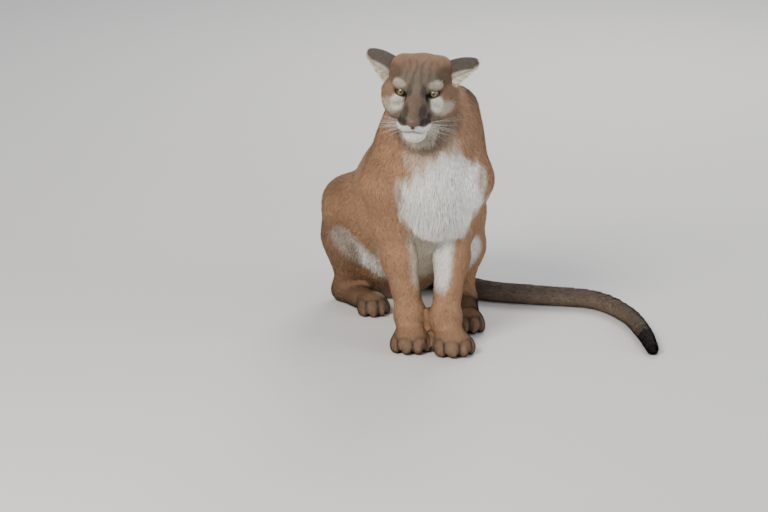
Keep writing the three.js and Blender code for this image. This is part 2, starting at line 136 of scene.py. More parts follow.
def distance_to(p, part):
    """How far points lie outside a rod or lump."""
    if part["kind"] == "rod":
        q = p - part["start"]
        t = np.clip(q @ part["along"] / (part["along"] @ part["along"]), 0, 1)
        q = q - t[..., None] * part["along"]
        if part["across"] is not None:
            q = q + (q @ part["across"])[..., None] * (1 / part["ratio"] - 1) * part["across"]
        start_radius, end_radius = part["radii"]
        return np.linalg.norm(q, axis=-1) - (start_radius + (end_radius - start_radius) * t)
    q = p - part["centre"]
    if part["axes"] is not None:
        q = q @ part["axes"].T
    near = np.linalg.norm(q / part["radii"], axis=-1)
    slope = np.linalg.norm(q / part["radii"] ** 2, axis=-1)
    return near * (near - 1) / np.maximum(slope, 1e-9)


def oval(p, centre, radii):
    """How far points lie outside an ellipsoid that isn't one of the body's own."""
    return distance_to(p, dict(kind="lump", centre=np.array(centre, float), axes=None,
                               radii=np.array(radii, float)))


def soft_min(a, b, blend):
    h = np.maximum(blend - np.abs(a - b), 0) / blend
    return np.minimum(a, b) - h * h * blend / 4


def soft_max(a, b, blend):
    return -soft_min(-a, -b, blend)


# Trunk and neck
SIDEWAYS = (1, 0, 0)
lump((14, 150, 450), (116, 126, 156), 60, "trunk", flow=(0, 0.3, -0.9))
lump((22, 70, 420), (80, 64, 108), 60, "chest", flow=(0, 0.1, -1))
lump((8, 265, 380), (140, 130, 118), 60, "trunk")
rod((12, 190, 420), (5, 350, 328), 138, 140, 60, "trunk", SIDEWAYS, 0.95)
rod((5, 350, 305), (-6, 470, 220), 134, 126, 60, "trunk", SIDEWAYS, 1.04)
lump((-8, 520, 150), (138, 92, 150), 60, "trunk", flow=(0, 0.35, -0.9))
lump((-8, 545, 80), (112, 78, 84), 50, "trunk", flow=(0, 0.35, -0.9))
rod((36, 215, 580), (15, 360, 462), 56, 62, 70, "trunk")
rod((15, 360, 462), (-5, 520, 285), 62, 60, 60, "trunk")
rod((30, 170, 552), (6, 104, 655), 104, 76, 60, "neck", flow=(0.2, 0.5, -0.8))
rod((22, 88, 515), (-18, 66, 600), 78, 60, 50, "neck", flow=(0.1, 0.1, -1))


toe_centres = []


def paw(middle, tip, pad, toes, toe_radii, toe_blend):
    """A pad with four toes in an arc, pointing from the paw's middle to its tip."""
    forward = unit((tip[0] - middle[0], tip[1] - middle[1], 0))
    side = np.array([-forward[1], forward[0], 0])
    axes = np.stack([side, forward, (0, 0, 1)])

    def place(across, ahead, height):
        p = np.array(middle, float) + side * across + forward * ahead
        return (p[0], p[1], height)

    lump(place(0, pad["ahead"], pad["height"]), pad["radii"], pad["blend"], "paw", axes,
         forward * 0.6 + (0, 0, -0.7))
    for across, ahead, height in toes:
        lump(place(across, ahead, height), toe_radii, toe_blend, "paw", axes, forward + (0, 0, -0.5))
        toe_centres.append(place(across, ahead, height))


FORE_TOES = ((-38, 3, 19), (-14, 23, 21), (14, 24, 21), (38, 4, 19))
FORE_JOINTS = {
    "right": dict(blade=(-22, 215, 565), point=(-104, 110, 425), arm=(-110, 98, 420),
                  elbow=(-78, 134, 302), wrist=(-42, 86, 92), paw=(-47, 42, 30), tip=(-50, -4, 0)),
    "left": dict(blade=(98, 205, 580), point=(108, 96, 430), arm=(110, 88, 425),
                 elbow=(80, 118, 304), wrist=(42, 50, 92), paw=(55, -2, 28), tip=(62, -46, 0)),
}
HIND_TOES = ((-30, 8, 17), (-11, 25, 19), (11, 25, 19), (30, 9, 17))
HIND_JOINTS = {
    "right": dict(hip=(-66, 515, 160), knee=(-144, 410, 298), hock=(-136, 488, 62),
                  ball=(-90, 368, 28), tip=(-79, 315, 0), outward=-1),
    "left": dict(hip=(54, 488, 160), knee=(126, 304, 290), hock=(142, 352, 62),
                 ball=(126, 184, 28), tip=(120, 122, 0), outward=1),
}


def mixed(a, b, t):
    return np.array(a, float) * (1 - t) + np.array(b, float) * t


def foreleg(blade, point, arm, elbow, wrist, paw_middle, tip):
    arm, elbow, wrist, paw_middle = (np.array(v, float) for v in (arm, elbow, wrist, paw_middle))
    forearm = mixed(elbow, wrist, 0.38)
    rod(blade, point, 50, 52, 45, "trunk")
    rod(arm, elbow, 52, 44, 45, "foreleg")
    rod((arm[0] * 0.8, arm[1] + 70, arm[2] + 5), elbow + (0, 8, 12), 50, 40, 50, "trunk")
    lump(elbow + (0, 24, 2), (22, 24, 26), 24, "foreleg")
    rod(elbow, forearm, 44, 41, 30, "foreleg")
    rod(forearm, wrist, 41, 35, 30, "foreleg")
    lump(wrist + (0, -4, -4), (39, 34, 30), 20, "foreleg", flow=(0, -0.2, -1))
    rod((wrist[0], wrist[1] - 6, 62), paw_middle + (0, 0, 4), 34, 32, 25, "paw")
    pad = dict(ahead=-4, height=paw_middle[2], radii=(47, 44, 30), blend=20)
    paw(paw_middle, tip, pad, FORE_TOES, (15.5, 25, 22), 7)


def hindleg(hip, knee, hock, ball, tip, outward):
    knee, hock, ball = (np.array(v, float) for v in (knee, hock, ball))
    ham = mixed(hip, knee, 0.55) + (0, 35, -60)
    calf = mixed(knee, hock, 0.5) + (outward * 8, 6, 5)
    heel = hock + (outward * 4, 8, -32)
    instep = ball + (0, 8, 0)
    rod(hip, knee, 100, 56, 55, "hindleg", flow=(0, 0.3, -0.9))
    rod(ham, knee + (outward * 2, 30, -30), 70, 50, 50, "hindleg", flow=(0, 0.4, -0.9))
    rod(knee + (0, 5, -10), calf, 54, 48, 40, "hindleg")
    rod(calf, hock, 48, 29, 40, "hindleg")
    rod(hock + (0, 4, -8), heel, 30, 31, 20, "paw")
    rod(heel, instep, 31, 28, 20, "paw", np.cross(instep - heel, (0, 0, 1)), 1.15)
    pad = dict(ahead=0, height=ball[2] - 2, radii=(39, 40, 28), blend=15)
    paw(ball, tip, pad, HIND_TOES, (12.8, 23, 20), 6)


for joints in FORE_JOINTS.values():
    foreleg(*joints.values())
for joints in HIND_JOINTS.values():
    hindleg(**joints)


def head_lump(place, radii, blend, region="head"):
    lump(head_point(place), radii, blend, region, HEAD)


def head_rod(start, end, start_radius, end_radius, blend, ratio=1.0, region="head"):
    rod(head_point(start), head_point(end), start_radius, end_radius, blend, region, HEAD[0], ratio)


head_lump((0, -60, 12), (68, 72, 48), 26)
head_lump((0, -104, 0), (66, 44, 52), 28)
head_lump((0, -16, 22), (50, 40, 28), 25)
for s in (-1, 1):
    head_lump((s * 54, -46, -20), (38, 52, 44), 25)
    head_lump((s * 40, -22, -50), (38, 50, 32), 25)
    head_lump((s * 52, -4, -17), (20, 26, 16), 18)
    head_lump((s * 48, -68, 38), (28, 40, 26), 26)
head_rod((0, 0, 6), (0, 76, -37), 29, 20, 20, region="muzzle")
head_lump((0, 48, -48), (36, 44, 32), 18, "muzzle")
head_lump((0, 56, -86), (23, 25, 17), 10, "muzzle")
head_rod((0, 50, -82), (0, -40, -68), 20, 40, 25, 1.15)
for s in (-1, 1):
    head_lump((s * 20, 66, -55), (22.5, 23, 19), 10, "muzzle")
    head_lump((s * 36, 2, 23), (24, 14, 9), 18)

# Tail: x, y, z and radius along it
TAIL_PATH = np.array([
    (-6, 560, 150, 40), (6, 618, 84, 36), (62, 622, 31, 31), (130, 548, 25.5, 29),
    (220, 440, 23.5, 27), (353, 378, 22.5, 26), (483, 318, 21, 24.5), (540, 190, 19, 22.5),
    (550, 40, 17.5, 20.5), (545, -80, 14, 16),
])
TAIL_STEPS = 4


def tail_places():
    ends = [2 * TAIL_PATH[0] - TAIL_PATH[1], *TAIL_PATH, 2 * TAIL_PATH[-1] - TAIL_PATH[-2]]
    places = []
    for p0, p1, p2, p3 in zip(ends, ends[1:], ends[2:], ends[3:]):
        for t in np.arange(TAIL_STEPS) / TAIL_STEPS:
            curve = (2 * p1 + (p2 - p0) * t + (2 * p0 - 5 * p1 + 4 * p2 - p3) * t ** 2
                     + (3 * p1 - p0 - 3 * p2 + p3) * t ** 3)
            places.append(curve / 2)
    places.append(TAIL_PATH[-1])
    return places


TAIL_PLACES = tail_places()
for index, (start, end) in enumerate(zip(TAIL_PLACES, TAIL_PLACES[1:])):
    rod(start[:3], end[:3], start[3], end[3], 30 if index < 5 else 1.5, "tail")

SKIN_PAD = 75.0


def eye_cuts(q, value):
    """Lids: the skin wraps each eyeball and opens in a slanted almond."""
    for s in (-1, 1):
        centre = np.array([s * EYE_SPREAD, EYE_FORWARD, EYE_UP])
        out = unit((s * 0.22, 0.97, 0.0))
        slant = math.radians(EYE_SLANT)
        wide = unit(np.cross(out, (0, 0, 1.0)))
        wide = wide * (1 if wide[0] * s > 0 else -1)
        wide = wide * math.cos(slant) + np.array([0, 0, 1.0]) * math.sin(slant)
        tall = unit(np.cross(wide, out))
        tall = tall * (1 if tall[2] > 0 else -1)
        d = q - centre
        ball = np.linalg.norm(d, axis=-1) - (EYE_RADIUS + 2.0)
        value = soft_min(value, ball, 6.0)
        half_wide, upper, lower = 14.2, 4.2, 6.0
        u, v, w = d @ wide, d @ tall, d @ out
        opening = []
        for height, sign in ((upper, 1), (lower, -1)):
            radius = (half_wide ** 2 + height ** 2) / (2 * height)
            opening.append(np.hypot(u, v + sign * (radius - height)) - radius)
        cut = np.maximum(np.maximum(*opening), 3.0 - w)
        value = soft_max(value, -cut, 1.2)
    return value


def mouth_height(left):
    """Height of the line of the mouth, which drops toward its corners."""
    return -69 - 5 * np.clip(np.abs(left) / 30, 0, 1.6) ** 2 + 3 * np.exp(-(left / 7) ** 2)


def face_lines(q, value):
    """The line of the mouth, the groove under the nose and the seat of its leather."""
    left, forward, up = q[..., 0], q[..., 1], q[..., 2]
    near = np.clip((forward - 30) / 15, 0, 1) * (np.abs(left) < 42)
    value = value + 3.0 * near * np.exp(-((up - mouth_height(left)) / 1.7) ** 2)
    under_nose = (forward > 70) * (up < -46) * (up > -69)
    value = value + 1.6 * under_nose * np.exp(-(left / 1.3) ** 2)
    return soft_max(value, -oval(q, (0, 89, -42), (15, 10, 8.5)), 1.5)


def flesh(p, fine=False):
    """Signed distance from the body's outline; with fine set, lids and mouth are there too."""
    value = np.full(len(p), 1000.0)
    for part in pieces:
        near = (np.abs(p - part["centre"]) < part["reach"] + SKIN_PAD).all(-1)
        if near.any():
            value[near] = soft_min(value[near], distance_to(p[near], part), part["blend"])
    q = in_head(p)
    near = (np.abs(q - (0, 10, -20)) < (90, 110, 90)).all(-1)
    if near.any():
        qn, vn = q[near], value[near]
        for s in (-1, 1):
            socket = oval(qn, (s * 44, 22, EYE_UP), (19, 13, 9.5))
            vn = soft_max(vn, -socket, 10)
        if fine:
            vn = face_lines(qn, eye_cuts(qn, vn))
        value[near] = vn
    return soft_max(value, -p[:, 2], 3) if fine else np.maximum(value, -p[:, 2])


def slope_of(p, fine=True, reach=0.4):
    steps = np.eye(3) * reach
    return np.stack([flesh(p + e, fine) - flesh(p - e, fine) for e in steps], -1) / (2 * reach)


REGIONS = list(COAT)


def lie_of(p):
    """Hair length, coat depth, direction of the hair, and nearest region at each point."""
    weight = np.zeros(len(p))
    length = np.zeros(len(p))
    depth = np.zeros(len(p))
    flow = np.zeros((len(p), 3))
    best = np.full(len(p), 1e9)
    region = np.zeros(len(p), int)
    for part in pieces:
        near = (np.abs(p - part["centre"]) < part["reach"] + SKIN_PAD).all(-1)
        if not near.any():
            continue
        d = distance_to(p[near], part)
        w = np.exp(-np.clip(d + 10, -40, 120) / 9.0)
        hair, thick = COAT[part["region"]]
        weight[near] += w
        length[near] += w * hair
        depth[near] += w * thick
        flow[near] += w[:, None] * part["flow"]
        better = d < best[near]
        index = np.flatnonzero(near)[better]
        best[index] = d[better]
        region[index] = REGIONS.index(part["region"])
    weight = np.maximum(weight, 1e-12)
    length, depth = length / weight, depth / weight
    q = in_head(p)
    away = q - (NOSE_TIP + (0, 6, 4))
    head_flow = unit(unit(away) + (0, -0.35, 0)) @ HEAD
    on_head = np.isin(region, [REGIONS.index("head"), REGIONS.index("muzzle")])
    flow = unit(flow)
    flow[on_head] = head_flow[on_head]
    return length, depth, flow, region


def made_mesh(name, points, faces, uv=None, smooth=True):
    """A mesh object from points in metres and faces that all have the same number of corners."""
    faces = np.asarray(faces)
    mesh = bpy.data.meshes.new(name)
    mesh.vertices.add(len(points))
    mesh.vertices.foreach_set("co", np.asarray(points, np.float32).ravel())
    mesh.loops.add(faces.size)
    mesh.loops.foreach_set("vertex_index", faces.ravel().astype(np.int32))
    mesh.polygons.add(len(faces))
    mesh.polygons.foreach_set("loop_start", np.arange(0, faces.size, faces.shape[1], dtype=np.int32))
    mesh.polygons.foreach_set("use_smooth", np.full(len(faces), smooth))
    mesh.update(calc_edges=True)
    if uv is not None:
        layer = mesh.uv_layers.new(name=UV_NAME)
        layer.data.foreach_set("uv", np.asarray(uv, np.float32)[faces.ravel()].ravel())
    made = bpy.data.objects.new(name, mesh)
    bpy.context.scene.collection.objects.link(made)
    return made


# Where the animal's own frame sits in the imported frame
eye_box = np.array([list(corner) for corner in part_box("eye_left")])
SHIFT = eye_box.mean(0) - head_point((EYE_SPREAD, EYE_FORWARD, EYE_UP)) * MM


def placed(points):
    return points * MM + SHIFT


def body_grid(cell=6.4, low=(-250, -125, -14), high=(590, 680, 790)):
    """Four-sided faces round the body's outline, from its distances on a grid."""
    axes = [np.arange(a, b, cell) for a, b in zip(low, high)]
    shape = [len(axis) for axis in axes]
    nodes = np.stack(np.meshgrid(*axes, indexing="ij"), -1).reshape(-1, 3)
    grid = openvdb.FloatGrid(60.0)
    grid.copyFromArray(np.clip(flesh(nodes), -60, 60).reshape(shape).astype(np.float32))
    points, _, faces = grid.convertToPolygons(0.0, 0.0)
    return points * cell + np.array(low), faces


def divided(points, faces, within):
    """Each face whose middle is within a region is divided in four."""
    mesh = bmesh.new()
    corners = [mesh.verts.new(p) for p in points]
    for face in faces:
        mesh.faces.new([corners[i] for i in face])
    mesh.faces.ensure_lookup_table()
    for inside in within:
        middles = np.array([face.calc_center_median() for face in mesh.faces])
        chosen = inside(middles)
        edges = {edge for face, take in zip(mesh.faces, chosen) if take for edge in face.edges}
        bmesh.ops.subdivide_edges(mesh, edges=list(edges), cuts=1, use_grid_fill=True)
        mesh.faces.ensure_lookup_table()
    bmesh.ops.triangulate(mesh, faces=mesh.faces[:])
    mesh.verts.index_update()
    found = np.array([v.co for v in mesh.verts])
    triangles = np.array([[v.index for v in face.verts] for face in mesh.faces])
    mesh.free()
    return found, facing_out(found, triangles)


def facing_out(points, triangles):
    """Triangles of a closed shape, turned over if they face in."""
    a, b, c = (points[triangles[:, i]] for i in range(3))
    return triangles if (np.cross(a, b) * c).sum() > 0 else triangles[:, ::-1]


def eye_nearness(q):
    """One on the lids, falling to nothing a few centimetres away."""
    near = np.zeros(len(q))
    for s in (-1, 1):
        away = np.linalg.norm(q - (s * 42, 14, EYE_UP), axis=-1)
        near = np.maximum(near, np.exp(-(away / 20) ** 2))
    return near


def coat_depth(p):
    """Depth of the coat over the skin, least round the eyes and nose."""
    _, depth, _, _ = lie_of(p)
    q = in_head(p)
    bare = np.maximum(eye_nearness(q), np.exp(-(np.linalg.norm(q - NOSE_TIP, axis=-1) / 20) ** 2))
    return depth * (1 - 0.85 * bare)


def settled(p, rounds=5):
    """Points moved onto the skin, the coat's depth inside the outline."""
    depth = coat_depth(p)
    for _ in range(rounds):
        slope = slope_of(p)
        size = np.maximum((slope ** 2).sum(-1), 0.3)
        step = (flesh(p, True) + depth) / size
        step = np.clip(step, -3.0, 3.0)
        p = p - slope * step[:, None]
        p[:, 2] = np.maximum(p[:, 2], 0.4)
    return p


def in_face(p):
    """Where the skin has its finest faces."""
    q = in_head(p)
    return (np.abs(q - (0, 35, -22)) < (64, 68, 84)).all(-1)


def in_head_or_paws(p):
    """Where the skin has finer faces than on the trunk."""
    q = in_head(p)
    paws = (p[:, 2] < 70) & (p[:, 1] < 110) & (p[:, 0] < 160)
    hind = (p[:, 2] < 60) & (p[:, 1] < 400) & (p[:, 0] < 170)
    return (np.abs(q - (0, -30, -10)) < (110, 150, 115)).all(-1) | paws | hind


def smoothstep(x):
    x = np.clip(x, 0, 1)
    return x * x * (3 - 2 * x)


def blob(q, centre, radii, soft=0.5):
    """One inside an ellipsoid, fading to nothing outside it."""
    away = np.linalg.norm((q - np.array(centre, float)) / np.array(radii, float), axis=-1)
    return smoothstep((1 + soft - away) / soft)


def linear(red, green, blue):
    """A colour named in screen values, as the light it stands for."""
    return np.array([((c / 255 + 0.055) / 1.055) ** 2.4 for c in (red, green, blue)])


TAWNY = linear(170, 131, 100)
UMBER = linear(120, 92, 70)
GREY_BROWN = linear(116, 105, 93)
RUST = linear(146, 106, 78)
CREAM = linear(222, 212, 192)
WHITE = linear(240, 238, 232)
DARK = linear(58, 50, 45)
BLACK = linear(24, 21, 20)
EAR_GREY = linear(98, 88, 80)
PAINTED_SKIN_SHADE = 0.8                 # brightness of the skin beside its tufts, as painted shade of the coat over it
THIGH_STRIPES = (((-176, 372, 208), (-55, 380, 80)), ((150, 262, 200), (70, 300, 90)))


def ripple(p, size, seed):
    """Gentle uneven patches between minus one and one."""
    turn = np.random.default_rng(seed).normal(size=(6, 3)) / size
    shift = np.random.default_rng(seed + 1).uniform(0, 6.28, 6)
    return np.sin(p @ turn.T + shift).mean(-1) * 1.6


def coat_colour(p, n):
    """Colour of the coat at points of the skin with outward directions n."""
    colour = np.tile(TAWNY, (len(p), 1))

    def lay(paint, cover):
        cover = np.clip(cover, 0, 1)[:, None]
        colour[:] = colour * (1 - cover) + paint * cover

    on_head = blob(in_head(p), (0, 8, -20), (112, 118, 112), 0.3)
    body_marks(lay, p, n, on_head)
    tail_marks_and_shade(lay, p, n)
    painted_foot_shade(lay, p, n)
    head_marks(lay, p, n, on_head)
    shade = 1 + 0.07 * ripple(p, 30, 11) + 0.05 * ripple(p, 9, 21)
    return np.clip(colour * shade[:, None], 0.003, 1)


def body_marks(lay, p, n, on_head):
    """Darker above, white on the chest, pale under the body and inside the legs."""
    x, y, z = p.T
    lay(UMBER, 0.55 * smoothstep((n[:, 2] + 0.1) / 0.9) * smoothstep((y - 60) / 200))
    lay(UMBER, 0.4 * smoothstep((y - 250) / 250))
    below = smoothstep((-n[:, 2] + 0.05) / 0.6) * smoothstep((420 - z) / 90) * smoothstep((z - 60) / 60)
    lay(CREAM, below * smoothstep((y - 60) / 60) * smoothstep((95 - np.abs(x)) / 50))
    uneven = p + 0.16 * ripple(p, 13, 3)[:, None] * (p - (34, 20, 420))
    chest = blob(uneven, (36, 20, 402), (86, 90, 94), 0.45)
    throat = blob(uneven, (4, 30, 520), (50, 90, 60), 0.6)
    lay(CREAM, 0.45 * throat * (1 - on_head))
    lay(WHITE, chest * smoothstep((0.35 - n[:, 1]) / 0.5) * (1 - on_head))
    inner_left = blob(p, (36, 70, 255), (32, 70, 75), 0.6) * smoothstep((-n[:, 0] + 0.1) / 0.5)
    inner_right = blob(p, (-40, 100, 250), (34, 60, 75), 0.6) * smoothstep((n[:, 0] - 0.2) / 0.5)
    lay(WHITE, 0.9 * inner_left)
    lay(CREAM, 0.7 * inner_right)
    for start, end in THIGH_STRIPES:
        start, end = np.array(start, float), np.array(end, float)
        along = end - start
        t = np.clip((p - start) @ along / (along @ along), 0, 1)
        away = np.linalg.norm(p - start - t[:, None] * along, axis=-1)
        lay(WHITE, 0.9 * smoothstep((46 - away) / 22) * smoothstep((0.45 - n[:, 1]) / 0.5))
    inner_hind = smoothstep((260 - z) / 60) * smoothstep((y - 250) / 60) * smoothstep((z - 50) / 40)
    lay(CREAM, 0.8 * inner_hind * smoothstep(-n[:, 0] * np.sign(x) / 0.5) * (np.abs(x) < 180))
    lay(GREY_BROWN, 0.5 * smoothstep((70 - z) / 50) * (x < 200))


def tail_marks_and_shade(lay, p, n):
    """Grey-brown along the tail, painted as its tawny coat looks in shade; darker above and black at the
    tip.
    """
    path = np.array(TAIL_PLACES)
    away = np.linalg.norm(p[:, None, :] - path[None, :, :3], axis=-1) - path[:, 3]
    nearest = away.argmin(1)
    tail = smoothstep((14 - away.min(1)) / 8) * smoothstep((nearest / len(path) - 0.06) / 0.3)
    # painted shade: the tail's coat laid grey-brown as it looks in shade
    lay(GREY_BROWN, 0.85 * tail)
    lay(DARK, 0.35 * tail * smoothstep(n[:, 2]))
    lay(BLACK, 0.95 * tail * smoothstep((nearest / len(path) - 0.84) / 0.06))


def painted_foot_shade(lay, p, n):
    """Painted shade between and behind the toes, and on the right shank."""
    toe_away = np.sort(np.linalg.norm(p[:, None, :] - np.array(toe_centres), axis=-1), axis=1)
    # painted shade in the creases between the toes and behind them
    gap = np.exp(-((toe_away[:, 1] - toe_away[:, 0]) / 4) ** 2) * smoothstep((30 - toe_away[:, 0]) / 6)
    knuckle = np.exp(-((toe_away[:, 0] - 26) / 3) ** 2) * smoothstep(n[:, 2] / 0.5) * (p[:, 2] < 60)
    lay(DARK, 0.7 * gap + 0.4 * knuckle)
    # painted shade on the right shank
    lay(UMBER, 0.75 * blob(p, (-178, 420, 120), (50, 110, 110), 0.6))


def head_marks(lay, p, n, on_head):
    """Grey-brown face with dark streaks, pale patches round the eyes and a white muzzle."""
    q = in_head(p)
    left, forward, up = q.T
    side = np.abs(left)
    mirrored = np.stack([side, forward, up], -1)
    on_face = blob(q, (0, 40, -20), (90, 110, 100), 0.8)
    lay(GREY_BROWN, 0.92 * np.minimum(on_head, on_face))
    lay(RUST, on_head * 0.45 * blob(mirrored, (10, -70, 66), (70, 46, 30), 0.9))
    lay(RUST, on_head * 0.55 * blob(mirrored, (70, -20, -14), (20, 40, 50), 0.6))
    for streak, strength in ((7, 0.4), (24, 0.32), (40, 0.2)):
        wave = streak + 4 * np.sin(forward / 17) + 0.12 * (up - 20) + 3 * ripple(q, 22, 31)
        line = np.exp(-((side - wave) / 3.6) ** 2)
        lay(DARK, strength * line * on_head * blob(q, (0, -18, 38), (60, 42, 26), 0.4))
    lay(DARK, 0.5 * blob(mirrored, (62, -30, 32), (20, 26, 16), 0.7))
    lay(UMBER, 0.45 * blob(mirrored, (0, 50, -14), (18, 44, 20), 0.5))
    lay(DARK, 0.72 * blob(mirrored, (18, 58, -28), (8, 28, 13), 0.7))
    lay(DARK, 0.65 * blob(mirrored, (15, 18, 9), (6, 18, 14), 0.8))
    lay(CREAM, 0.5 * blob(mirrored, (44, 12, 24), (13, 16, 6), 1.0))
    lay(WHITE, 0.76 * blob(mirrored, (47, 22, -22), (11, 22, 14), 0.8))
    lay(CREAM, 0.5 * blob(mirrored, (57, 0, -33), (16, 24, 14), 0.9))
    lay(DARK, 0.9 * blob(mirrored, (36, 60, -46), (10, 22, 12), 0.6))
    lay(WHITE, blob(mirrored, (20, 72, -60), (22, 28, 13), 0.35))
    lay(DARK, 0.9 * blob(mirrored, (24, 84, -43), (10, 14, 7), 0.6))
    lay(WHITE, blob(q, (0, 62, -91), (30, 34, 20), 0.35))
    lay(CREAM, 0.5 * blob(q, (0, 20, -104), (44, 50, 24), 0.6) * (n @ HEAD[2] < 0.2))
    lips = np.exp(-((up - mouth_height(side)) / 2.6) ** 2) * (forward > 34) * (side < 38)
    lay(DARK, 0.8 * lips)
    # Black round the eyes, drawn out at the inner corner
    slant = math.radians(EYE_SLANT)
    for s in (-1, 1):
        d = q - (s * EYE_SPREAD, EYE_FORWARD, EYE_UP)
        wide = d[:, 0] * s * math.cos(slant) + d[:, 2] * math.sin(slant)
        tall = -d[:, 0] * s * math.sin(slant) + d[:, 2] * math.cos(slant)
        rim = smoothstep((1.0 - np.hypot(wide / 20.5, (tall + 0.5) / 10.5)) / 0.22) * (d[:, 1] > 0)
        lay(BLACK, 0.96 * rim)
    lay(BLACK, 0.85 * blob(mirrored, (22, 24, -7), (4, 9, 10), 0.7))


def point_normals(points, triangles):
    """Outward directions at the points of a triangle mesh."""
    a, b, c = (points[triangles[:, i]] for i in range(3))
    face = np.cross(b - a, c - a)
    normals = np.zeros_like(points)
    for i in range(3):
        np.add.at(normals, triangles[:, i], face)
    return unit(normals)


def paint(made, colours):
    """Lays a colour on each point of a piece."""
    layer = made.data.color_attributes.new("coat", "FLOAT_COLOR", "POINT")
    full = np.ones((len(colours), 4), np.float32)
    full[:, :3] = colours
    layer.data.foreach_set("color", full.ravel())


def unwrapped(made):
    """Unwraps a piece on its own shape and returns each face corner's place on it."""
    bpy.context.view_layer.objects.active = made
    made.select_set(True)
    bpy.ops.object.mode_set(mode="EDIT")
    bpy.ops.mesh.select_all(action="SELECT")
    bpy.ops.uv.smart_project(angle_limit=math.radians(60), island_margin=0.002)
    bpy.ops.object.mode_set(mode="OBJECT")
    made.select_set(False)
    layer = made.data.uv_layers.active
    layer.name = UV_NAME
    flat = np.zeros(len(made.data.loops) * 2, np.float32)
    layer.data.foreach_get("uv", flat)
    return flat.reshape(-1, 3, 2)


# Tufts on each square millimetre of skin
CROWD = {
    "trunk": 0.27, "chest": 0.34, "belly": 0.34, "neck": 0.34, "foreleg": 0.48, "hindleg": 0.38,
    "paw": 0.62, "tail": 0.46, "head": 0.85, "muzzle": 1.25,
}
MOST_TUFTS = 95000              # in one piece, at two triangles each
PATCH = 0.003                   # across a tuft on the unwrap
TUFT_TONES = np.array([0.72, 0.98, 0.98, 1.12])     # root, both sides, tip; the dark root is painted shade deep in the coat


def grow(label, points, triangles, uv, colour_of, lie, crowd, wide=0.15, tilt=(24, 9)):
    """Covers triangles with pointed tufts that lie along the hair's direction."""
    corner = points[triangles]
    cross = np.cross(corner[:, 1] - corner[:, 0], corner[:, 2] - corner[:, 0])
    area = np.linalg.norm(cross, axis=-1) / 2
    wanted = area * crowd(corner.mean(1))
    count = rng.poisson(wanted)
    face = np.repeat(np.arange(len(triangles)), count)
    a, b = rng.random((2, len(face)))
    a, b = np.where(a + b > 1, 1 - a, a), np.where(a + b > 1, 1 - b, b)
    share = np.stack([1 - a - b, a, b], -1)
    normals = point_normals(points, triangles)
    root = (corner[face] * share[..., None]).sum(1)
    out = unit((normals[triangles[face]] * share[..., None]).sum(1))
    place = (uv[face] * share[..., None]).sum(1)
    length, flow, keep = lie(root, out)
    root, out, place, length, flow = (v[keep] for v in (root, out, place, length, flow))
    amount = len(root)
    along = unit(flow - (flow * out).sum(-1, keepdims=True) * out)
    across = np.cross(out, along)
    swing = np.radians(rng.normal(0, 9, amount))[:, None]
    along = along * np.cos(swing) + across * np.sin(swing)
    across = np.cross(out, along)
    length = (length * rng.uniform(0.7, 1.25, amount))[:, None]
    width = np.clip(length * wide, 0.7, 3.2) * rng.uniform(0.8, 1.2, (amount, 1))
    rise, fall = (np.radians(angle + rng.normal(0, 3, amount))[:, None] for angle in tilt)
    middle = root + length * 0.45 * (along * np.cos(rise) + out * np.sin(rise))
    tip = middle + length * 0.55 * (along * np.cos(fall) + out * np.sin(fall))
    leaf = np.stack([root - out * 0.4, middle - across * width / 2, middle + across * width / 2, tip], 1)
    leaf[..., 2] = np.maximum(leaf[..., 2], 0.2)
    lean = out + 0.25 * along * rng.normal(0, 1, (amount, 1))
    lean = unit(lean + 0.3 * across * rng.normal(0, 1, (amount, 1)))
    tone = colour_of(root, out) * rng.uniform(0.82, 1.18, (amount, 1))
    # each tuft darker at its root: painted shade deep in the coat
    tone = tone[:, None, :] * TUFT_TONES[None, :, None]
    patch = np.array([(0, -1), (-1, 0), (1, 0), (0, 1)]) * PATCH / 2
    order = np.argsort(root @ np.array([0.3, -0.2, 1.0]), kind="stable")
    parts = max(1, math.ceil(amount / MOST_TUFTS))
    for number, chosen in enumerate(np.array_split(order, parts)):
        total = len(chosen)
        base = np.arange(total)[:, None, None] * 4
        faces = (base + np.array([[0, 1, 2], [2, 1, 3]])).reshape(-1, 3)
        uv_points = (place[chosen][:, None, :] + patch).reshape(-1, 2)
        made = made_mesh(f"coat_{label}_{number + 1}", placed(leaf[chosen].reshape(-1, 3)), faces, uv_points)
        paint(made, tone[chosen].reshape(-1, 3))
        made.data.normals_split_custom_set_from_vertices(np.repeat(lean[chosen], 4, axis=0))
        made.data.materials.append(fur_material)
        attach(made, "root")


# Materials
def new_material(name, roughness, specular=0.5):
    made = bpy.data.materials.new(name)
    made.use_nodes = True
    shader = made.node_tree.nodes["Principled BSDF"]
    shader.inputs["Roughness"].default_value = roughness
    shader.inputs["Specular IOR Level"].default_value = specular
    return made, made.node_tree, shader


def painted_material(name, roughness, specular=0.5):
    """A material coloured by the colours laid on its mesh."""
    made, tree, shader = new_material(name, roughness, specular)
    node = tree.nodes.new("ShaderNodeAttribute")
    node.attribute_name = "coat"
    tree.links.new(node.outputs["Color"], shader.inputs["Base Color"])
    return made, tree, shader


def bumpy(tree, shader, scale, strength, distance):
    place = tree.nodes.new("ShaderNodeTexCoord")
    noise = tree.nodes.new("ShaderNodeTexNoise")
    noise.inputs["Scale"].default_value = scale
    noise.inputs["Detail"].default_value = 2.0
    bump = tree.nodes.new("ShaderNodeBump")
    bump.inputs["Strength"].default_value = strength
    bump.inputs["Distance"].default_value = distance
    tree.links.new(place.outputs["Object"], noise.inputs["Vector"])
    tree.links.new(noise.outputs["Fac"], bump.inputs["Height"])
    tree.links.new(bump.outputs["Normal"], shader.inputs["Normal"])


